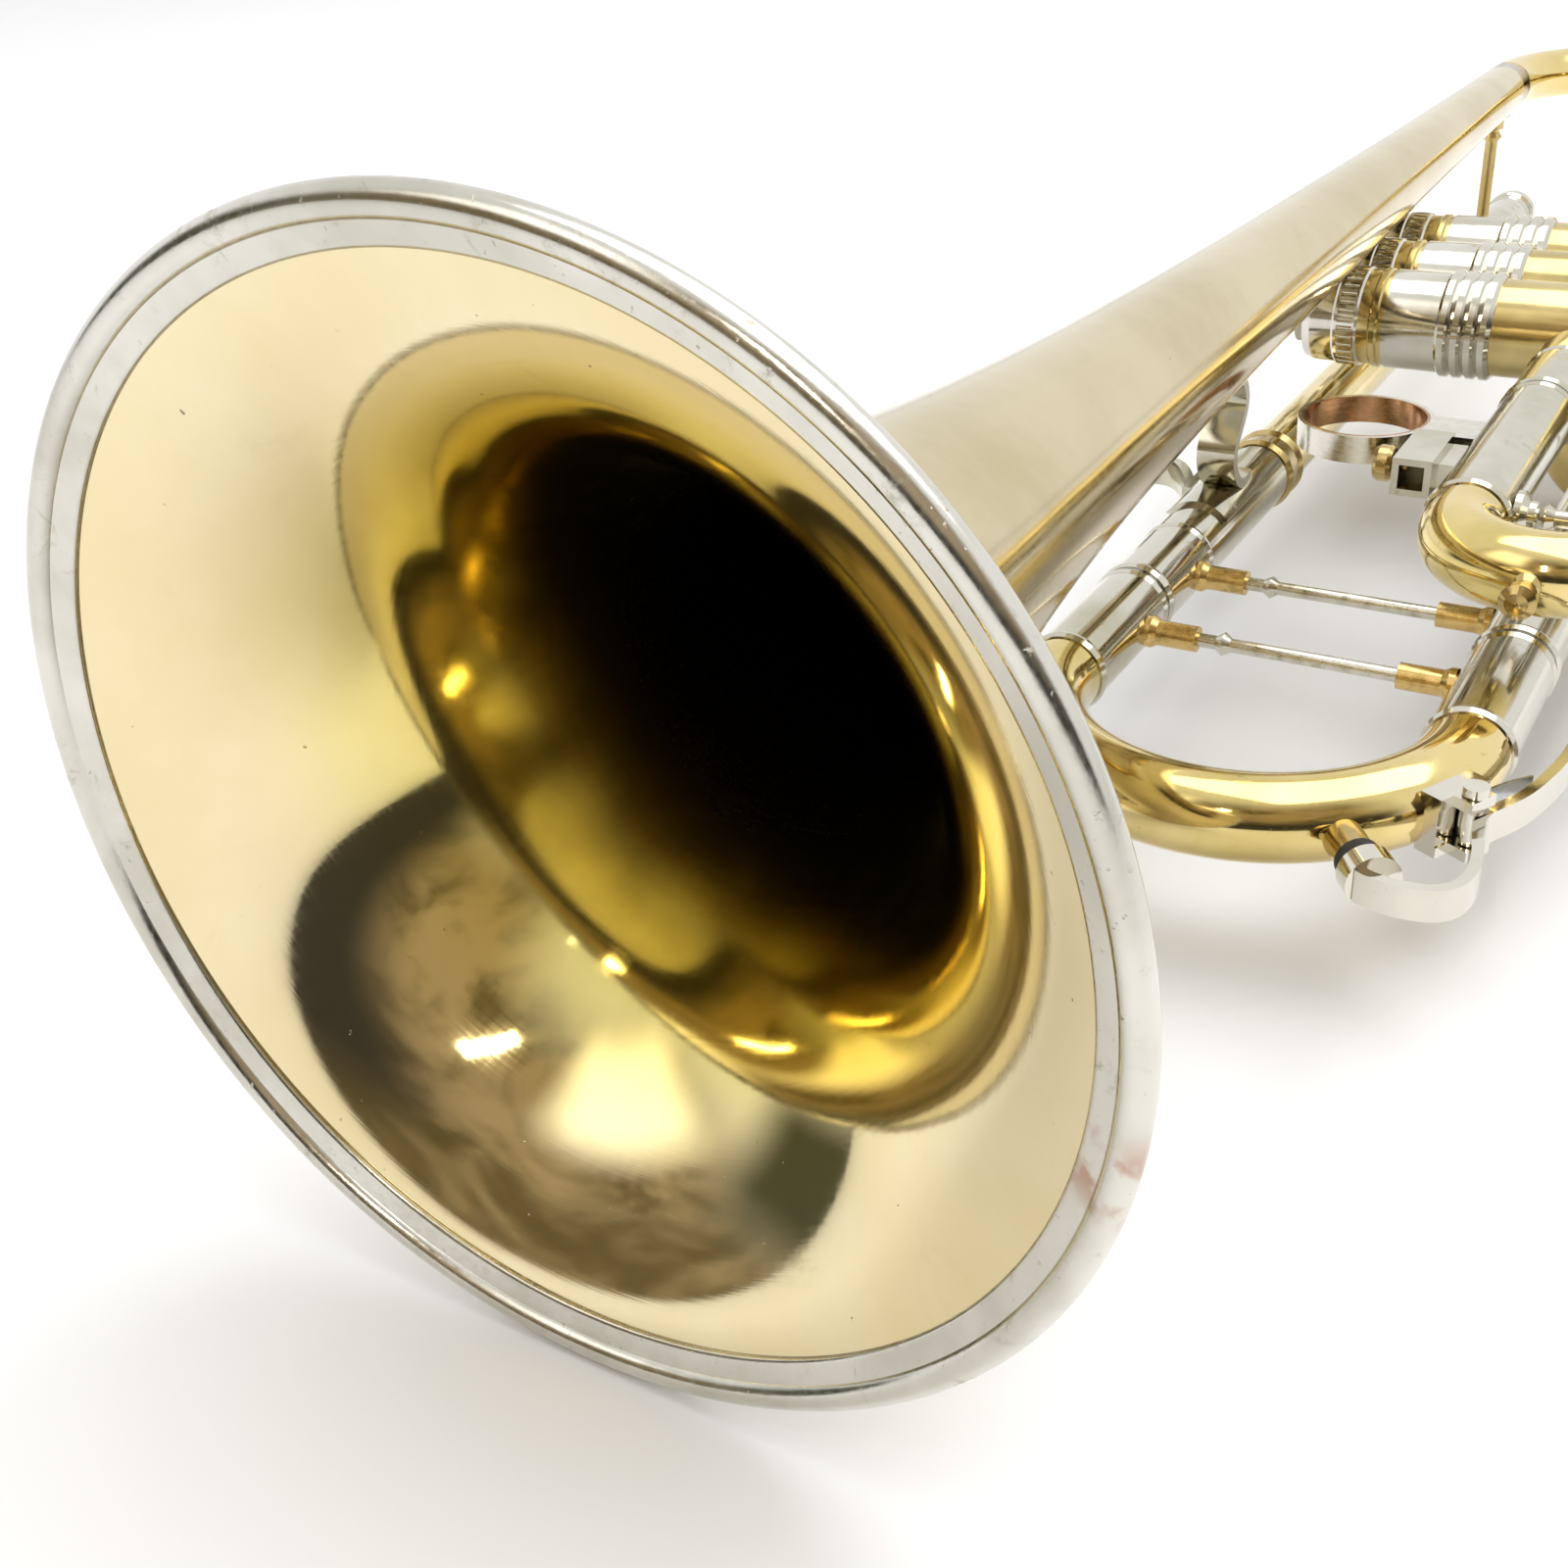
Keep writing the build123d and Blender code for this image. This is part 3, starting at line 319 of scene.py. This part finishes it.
def brace_metal(name, node):
    """Nickel rod with brass sockets at both ends, told apart by the distance from the ends."""
    low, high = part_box(node)
    material = bpy.data.materials.new(name)
    g = Graph(material)
    at = g.position()
    y = g.split(at)[1]
    near = g.math("LESS_THAN", y, low.y + SOCKET_LENGTH)
    far = g.math("GREATER_THAN", y, high.y - SOCKET_LENGTH)
    ends = g.math("ADD", near, far, clamp=True)
    blots = g.ramp(g.noise(at, 300.0, 6.0, 0.7), 0.45, 0.7)
    brass = g.mix(blots, (0.70, 0.50, 0.20), (0.44, 0.30, 0.10))
    nickel = g.mix(blots, NICKEL, NICKEL_GREEN)
    color = g.mix(ends, nickel, brass)
    lines = g.noise(g.stretched(at, 3.0, 1.0, 3.0), 500.0, 5.0, 0.7)
    normal = g.bump(lines, 0.00002, 0.5)
    g.surface(color, g.ramp(lines, 0.3, 0.7, 0.14, 0.3), normal, Metallic=1.0)
    return material


def ring_metal():
    """Bright nickel outside, and bare copper-brown metal where a finger rubs the inside."""
    low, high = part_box("third_slide_ring")
    middle_x, radius = (low.x + high.x) / 2, (high.x - low.x) / 2
    middle_y = low.y + radius
    material = bpy.data.materials.new("ring_nickel")
    g = Graph(material)
    at = g.position()
    x, y = g.split(at)[:2]
    across = g.join(g.math("SUBTRACT", x, middle_x), g.math("SUBTRACT", y, middle_y), 0.0)
    length = g.node("VectorMath", operation="LENGTH")
    g.put(length.inputs[0], across)
    inside = g.math("LESS_THAN", length.outputs["Value"], radius - RING_WORN_DEPTH)
    blots = g.ramp(g.noise(at, 260.0, 6.0, 0.7), 0.35, 0.65)
    nickel_part = g.mix(blots, NICKEL_BRIGHT, NICKEL)
    worn_part = g.mix(blots, (0.50, 0.27, 0.14), (0.36, 0.22, 0.11))
    lines = g.noise(g.stretched(at, 1.0, 1.0, 4.0), 600.0, 5.0, 0.7)
    normal = g.bump(lines, 0.00002, 0.4)
    color = g.mix(inside, nickel_part, worn_part)
    g.surface(color, g.ramp(lines, 0.3, 0.7, 0.10, 0.24), normal, Metallic=1.0)
    return material


def pearl_shell():
    """Mother of pearl: pale, with curling veins and faint pink clouds."""
    material = bpy.data.materials.new("pearl_shell")
    g = Graph(material)
    at = g.position()
    veins = g.noise(at, 320.0, 6.0, 0.65, 1.6)
    color = g.mix(g.ramp(veins, 0.35, 0.65), (0.86, 0.84, 0.80), (0.72, 0.76, 0.74))
    color = g.mix(g.ramp(g.noise(at, 140.0, 3.0, 0.5, 2.0), 0.5, 0.7), color, (0.84, 0.74, 0.74))
    normal = g.bump(veins, 0.00002, 0.4)
    roughness = g.ramp(veins, 0.3, 0.7, 0.08, 0.16)
    g.surface(color, roughness, normal, Metallic=0.0, Coat_Weight=0.8, Coat_Roughness=0.03)
    return material


def soft_material(name, one, other, grain, depth, rough):
    """Felt or cork: uneven colour and a fibrous or grainy surface."""
    material = bpy.data.materials.new(name)
    g = Graph(material)
    at = g.position()
    fibres = g.noise(at, grain, 8.0, 0.75, 0.8)
    color = g.mix(g.ramp(fibres, 0.3, 0.7), one, other)
    normal = g.bump(fibres, depth, 0.8)
    g.surface(color, g.ramp(fibres, 0.2, 0.8, rough - 0.1, rough), normal, Metallic=0.0)
    return material


lacquer = metal("lacquered_brass", BRASS, BRASS_DEEP, (0.34, 0.20, 0.06), tarnished=0.10,
                rough=0.09, scratches=ALONG_TUBES, grain=0.4, coat=0.3)
casing_brass = metal("casing_brass", (0.68, 0.54, 0.24), (0.48, 0.39, 0.16), (0.24, 0.20, 0.09),
                     tarnished=0.14, rough=0.13, scratches=ACROSS_CASINGS, grain=0.5, coat=0.2)
bare_brass = metal("bare_brass", (0.62, 0.48, 0.22), (0.42, 0.31, 0.12), (0.22, 0.15, 0.06),
                   tarnished=0.16, rough=0.17, scratches=ALL_WAYS, grain=0.6)
nickel = metal("worn_nickel", NICKEL, (0.50, 0.47, 0.35), NICKEL_GREEN, tarnished=0.15,
               rough=0.11, scratches=ALONG_TUBES, grain=0.6)
bright_nickel = metal("bright_nickel", NICKEL_BRIGHT, NICKEL, (0.40, 0.37, 0.26), tarnished=0.09,
                      rough=0.08, scratches=ALL_WAYS, grain=0.4)
band_nickel = metal("band_nickel", (0.70, 0.68, 0.61), (0.57, 0.54, 0.45), (0.36, 0.32, 0.21),
                    tarnished=0.13, rough=0.10, scratches=ALL_WAYS, grain=0.5)
monel = metal("lapped_monel", (0.60, 0.58, 0.54), (0.52, 0.50, 0.46), (0.35, 0.33, 0.28),
              tarnished=0.06, rough=0.16, scratches=ACROSS_CASINGS, grain=0.6)
wire = metal("spring_wire", (0.55, 0.56, 0.58), (0.46, 0.46, 0.47), (0.3, 0.26, 0.2),
             tarnished=0.06, rough=0.2, scratches=ALL_WAYS, grain=0.4)
bell_inside = bell_metal("bell_inside", (0.81, 0.71, 0.46), (0.75, 0.64, 0.37),
                         (0.50, 0.40, 0.19), rough=0.06, inside=True)
bell_outside = bell_metal("bell_outside", (0.68, 0.58, 0.38), (0.56, 0.47, 0.27),
                          (0.36, 0.27, 0.13), rough=0.12, inside=False)
rim_nickel = rim_metal()
pearl = pearl_shell()
felt = soft_material("pressed_felt", (0.74, 0.72, 0.64), (0.60, 0.57, 0.48),
                     grain=1800.0, depth=0.0003, rough=0.95)
cork = soft_material("dark_cork", (0.035, 0.028, 0.022), (0.010, 0.009, 0.008),
                     grain=1400.0, depth=0.0003, rough=0.8)


def paint(name, material):
    """Gives a CAD node one material."""
    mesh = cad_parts[name].data
    mesh.materials.clear()
    mesh.materials.append(material)
    for polygon in mesh.polygons:
        polygon.material_index = 0


BY_NODE = {
    lacquer: ["bell_bow", "leadpipe", "main_slide_bow", "third_slide_bow", "first_slide_bow",
              "second_slide_bow"],
    casing_brass: ["casing_1", "casing_2", "casing_3", "valve_knuckles", "bottom_caps"],
    bare_brass: ["bell_ferrule", "leadpipe_ferrule", "rear_brace", "third_slide_knob",
                 "water_key_nipple", "lyre_screw"],
    nickel: ["receiver", "upper_sleeve", "lower_sleeve", "third_sleeves", "first_sleeves", "second_sleeves",
             "main_slide_legs", "third_slide_legs", "first_slide_legs", "second_slide_legs",
             "main_slide_ferrules", "third_slide_ferrules", "first_slide_ferrules",
             "second_slide_ferrules", "front_brace", "third_slide_brace", "lyre_holder",
             "pinky_hook"],
    bright_nickel: ["water_key_lever", "water_key_saddle", "water_key_pin", "stem_1", "stem_2",
                    "stem_3"],
    band_nickel: ["casing_bands", "top_caps"],
    monel: ["piston_1", "piston_2", "piston_3"],
    wire: ["valve_spring_1", "valve_spring_2", "valve_spring_3", "water_key_spring"],
    pearl: ["pearl_1", "pearl_2", "pearl_3"],
    felt: ["felts"],
    cork: ["water_key_cork"],
}
for material, names in BY_NODE.items():
    for name in names:
        paint(name, material)
paint("third_slide_ring", ring_metal())
for name in ("main_slide_brace", "outer_slide_brace"):
    paint(name, brace_metal(name + "_metal", name))


# ---------------------------------------------------------------- shapes


def lathe(name, profile, origin, axis, segments, materials, pick):
    """Closed mesh of revolution. Each profile point is (distance along the axis, radius).

    pick gives the number of the material for the faces that follow a point of the profile.
    """
    forward = Vector(axis).normalized()
    side = forward.orthogonal().normalized()
    other = forward.cross(side)
    verts = []
    for along, radius in profile:
        for k in range(segments):
            turn = 2 * math.pi * k / segments
            spoke = side * math.cos(turn) + other * math.sin(turn)
            verts.append(Vector(origin) + forward * along + spoke * radius)
    faces, indices = [], []
    rows = len(profile)
    for row in range(rows):
        here, below = row * segments, (row + 1) % rows * segments
        for k in range(segments):
            after = (k + 1) % segments
            faces.append((here + k, here + after, below + after, below + k))
            indices.append(pick(row))
    mesh = bpy.data.meshes.new(name)
    mesh.from_pydata(verts, [], faces)
    for material in materials:
        mesh.materials.append(material)
    mesh.polygons.foreach_set("material_index", indices)
    mesh.polygons.foreach_set("use_smooth", [True] * len(faces))
    mesh.update()
    made = bpy.data.objects.new(name, mesh)
    bpy.context.scene.collection.objects.link(made)
    return made


def flare_radius(s):
    """Outer radius of the bell at a distance s behind the rim."""
    draw = TAIL_DRAW * max(0.0, s - TAIL_START)
    return RIM_RADIUS * (FLARE / (s - RIM_SETBACK + FLARE)) ** FLARE_POWER - draw


def flare_point(s, inward):
    """(distance behind the rim, radius) of the bell's wall, moved inward along its normal."""
    step = 0.00001
    slope = (flare_radius(s + step) - flare_radius(s)) / step
    size = math.hypot(1.0, slope)
    return s + inward * slope / size, flare_radius(s) - inward / size


def make_bell():
    """The bell's thin wall, with one material inside and another outside."""
    growth = ((BELL_TAIL + FLARE) / (BELL_EDGE + FLARE)) ** (1 / BELL_ROWS)
    stations = [(BELL_EDGE + FLARE) * growth**i - FLARE for i in range(BELL_ROWS + 1)]
    outer = [flare_point(s, 0.0) for s in stations]
    inner = [flare_point(s, BELL_WALL) for s in reversed(stations)]
    profile = [(-s, r) for s, r in outer + inner]
    bell = lathe("bell_flare", profile, (RIM_X, BELL_Y, BELL_Z), (1, 0, 0), BELL_SEGMENTS,
                 [bell_inside, bell_outside], lambda row: 1 if row <= BELL_ROWS else 0)
    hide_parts("bell")
    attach(bell, "horn")


def make_rim():
    """Rolled bead and the flat band inside it, which share the rim's place."""
    centre = RIM_RADIUS - BEAD
    bead = []
    for k in range(BEAD_POINTS):
        turn = 2 * math.pi * k / BEAD_POINTS
        bead.append((-BEAD + BEAD * math.cos(turn), centre + BEAD * math.sin(turn)))
    origin, axis = (RIM_X, BELL_Y, BELL_Z), (1, 0, 0)
    roll = lathe("rim_bead", bead, origin, axis, RIM_SEGMENTS, [rim_nickel], lambda row: 0)
    inner_s = FLARE * ((RIM_RADIUS / BAND_INNER) ** (1 / FLARE_POWER) - 1) + RIM_SETBACK

    def face(inward, steps):
        """One face of the band, moved inward from the bell's outer face."""
        return [flare_point(BELL_EDGE + (inner_s - BELL_EDGE) * i / BAND_STEPS, inward) for i in steps]

    back = face(BELL_WALL, range(BAND_STEPS + 1))
    front = face(BELL_WALL + BAND_THICK, range(BAND_STEPS, -1, -1))
    middle = flare_point(inner_s + BAND_THICK * 0.3, BELL_WALL + BAND_THICK * 0.5)
    profile = [(-s, r) for s, r in back + [middle] + front]
    band = lathe("rim_band", profile, origin, axis, RIM_SEGMENTS, [rim_nickel], lambda row: 0)
    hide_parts("bell_rim")
    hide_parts("bell_rim")
    for piece in (roll, band):
        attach(piece, "horn")


make_bell()
make_rim()


# ---------------------------------------------------------------- floor, light and camera


FLOOR_REACH = 6.0
FLOOR_COLORS = ((0.84, 0.85, 0.88), (0.87, 0.875, 0.90))
# What the metal reflects, and what the camera sees behind the floor
ROOM_LIGHT, ROOM_DARK = (0.46, 0.36, 0.24), (0.15, 0.12, 0.06)
DARK_PATCH, OLIVE_PATCH, WINDOW = (0.055, 0.05, 0.045), (0.09, 0.09, 0.06), (1.9, 1.85, 1.75)
BACKDROP = (0.90, 0.91, 0.95)
# The camera: its place from the middle of the rim, its two directions, and its lens
CAMERA_PLACE = (0.1029, 0.0972, 0.0878)
CAMERA_RIGHT = (-0.51414, 0.855, -0.065)
CAMERA_LOOK = (-0.72499, -0.474, -0.500)
SENSOR_WIDTH, LENS = 36.0, 41.6


def make_floor():
    """Plain pale floor under the horn."""
    square = ((-1, -1), (1, -1), (1, 1), (-1, 1))
    corners = [(x * FLOOR_REACH, y * FLOOR_REACH, FLOOR_Z) for x, y in square]
    mesh = bpy.data.meshes.new("floor")
    mesh.from_pydata(corners, [], [(0, 1, 2, 3)])
    floor = bpy.data.objects.new("floor", mesh)
    bpy.context.scene.collection.objects.link(floor)
    material = bpy.data.materials.new("floor_white")
    g = Graph(material)
    at = g.position()
    tone = g.mix(g.noise(at, 3.0, 3.0), *FLOOR_COLORS)
    g.surface(tone, 0.55, None, Metallic=0.0)
    mesh.materials.append(material)


def make_world():
    """Bright surroundings with a warm, darker room on the side that the bell faces."""
    world = bpy.data.worlds.new("studio")
    bpy.context.scene.world = world
    g = Graph(world)
    direction = g.node("TexCoord").outputs["Generated"]
    x, y, z = g.split(direction)
    azimuth = g.math("MULTIPLY", g.math("ARCTAN2", y, x), 180 / math.pi)
    height = g.math("MULTIPLY", g.math("ARCSINE", z), 180 / math.pi)

    def patch(west, east, low, high, soft):
        """1 inside a range of azimuth and height, in degrees, with soft edges."""
        sides = [g.ramp(azimuth, west - soft, west + soft),
                 g.ramp(azimuth, east - soft, east + soft, 1.0, 0.0),
                 g.ramp(height, low - soft, low + soft),
                 g.ramp(height, high - soft, high + soft, 1.0, 0.0)]
        share = sides[0]
        for side in sides[1:]:
            share = g.math("MULTIPLY", share, side)
        return share

    dim = g.ramp(g.noise(direction, 3.2, 4.0, 0.6, 0.6), 0.38, 0.64)
    room = g.mix(dim, ROOM_LIGHT, ROOM_DARK)
    color = g.mix(patch(-58, 76, -20, 58, 16), (1.0, 1.0, 1.0), room)
    color = g.mix(patch(-4, 80, -20, 18, 9), color, DARK_PATCH)
    color = g.mix(patch(-82, -50, -20, 22, 9), color, OLIVE_PATCH)
    color = g.mix(patch(-56, -16, 32, 60, 8), color, WINDOW)
    camera_ray = g.node("LightPath").outputs["Is Camera Ray"]
    color = g.mix(camera_ray, color, BACKDROP)
    background = g.node("Background")
    g.put(background.inputs["Color"], color)
    background.inputs["Strength"].default_value = 1.05
    output = g.node("OutputWorld")
    g.tree.links.new(background.outputs[0], output.inputs[0])


def area_light(name, azimuth, height, distance, width, length, power, tint=(1, 1, 1)):
    """Rectangular soft light, aimed at the middle of the bell's mouth."""
    lamp = bpy.data.lights.new(name, "AREA")
    lamp.shape = "RECTANGLE"
    lamp.size, lamp.size_y = width, length
    lamp.energy, lamp.color = power, tint
    made = bpy.data.objects.new(name, lamp)
    a, e = math.radians(azimuth), math.radians(height)
    away = Vector((math.cos(a) * math.cos(e), math.sin(a) * math.cos(e), math.sin(e)))
    made.location = Vector((RIM_X, BELL_Y, BELL_Z)) + away * distance
    made.rotation_euler = away.to_track_quat("Z", "Y").to_euler()
    made.visible_camera = False
    bpy.context.scene.collection.objects.link(made)


def make_camera():
    """The camera looks into the bell from above and beside it."""
    rim_centre = Vector((RIM_X - BEAD, BELL_Y, BELL_Z))
    right = Vector(CAMERA_RIGHT).normalized()
    look = Vector(CAMERA_LOOK)
    look = (look - right * look.dot(right)).normalized()
    up = right.cross(look)
    data = bpy.data.cameras.new("camera")
    data.sensor_width, data.lens = SENSOR_WIDTH, LENS
    data.clip_start, data.clip_end = 0.01, 50.0
    camera = bpy.data.objects.new("camera", data)
    place = rim_centre + Vector(CAMERA_PLACE)
    turn = Matrix((right, up, -look)).transposed().to_4x4()
    camera.matrix_world = Matrix.Translation(place) @ turn
    bpy.context.scene.collection.objects.link(camera)
    bpy.context.scene.camera = camera


make_floor()
make_world()
area_light("overhead", 150, 70, 1.4, 1.4, 1.4, 14.0)
area_light("lamp", 7, 38, 1.6, 0.07, 0.42, 3.2, (1.0, 0.93, 0.8))
make_camera()
bpy.context.scene.view_settings.view_transform = "Standard"
